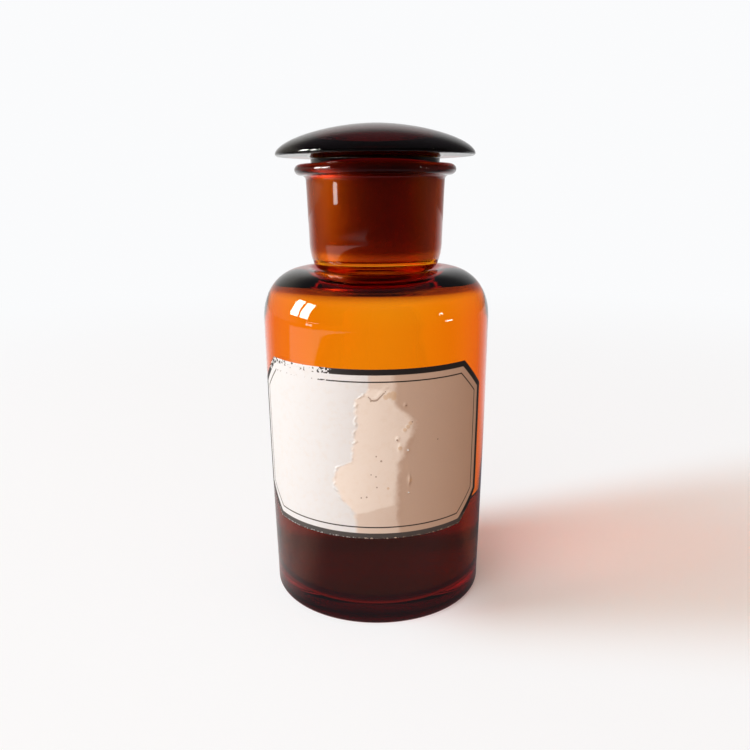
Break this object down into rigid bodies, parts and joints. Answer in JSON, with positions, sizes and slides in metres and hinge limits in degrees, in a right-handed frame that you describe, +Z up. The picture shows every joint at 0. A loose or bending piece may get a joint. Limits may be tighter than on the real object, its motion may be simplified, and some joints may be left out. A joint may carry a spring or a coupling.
{
  "type": "reagent bottle",
  "caption": "Wide-mouth glass reagent bottle with a hollow domed ground stopper, a framed paper label and a dark liquid fill.",
  "frame": {"origin": "centre of the flat resting ring, on the surface that the bottle stands on", "axes": "+Z up along the bottle's axis, -Y out of the front where the label is, +X to the right as seen from the front"},
  "size_m": [0.0838, 0.0839, 0.1754],
  "materials": {
    "bottle_glass": "clear amber glass, smooth and fire-polished outside, ground inside the neck",
    "stopper_glass": "clear amber glass, fire-polished head, finely ground plug",
    "label_paper": "aged cream paper, matt, printed with a plain black frame and a thin inner line",
    "reagent": "clear dark red-brown liquid"
  },
  "bodies": {
    "bottle": {"bottle": "bottle_glass", "label": "label_paper", "liquid": "reagent"},
    "stopper": {"stopper": "stopper_glass"}
  },
  "joints": [
    {"name": "stopper_lift", "type": "slide", "parent": "bottle", "child": "stopper", "axis": [0, 0, 1], "range_m": [0, 0.05]}
  ]
}
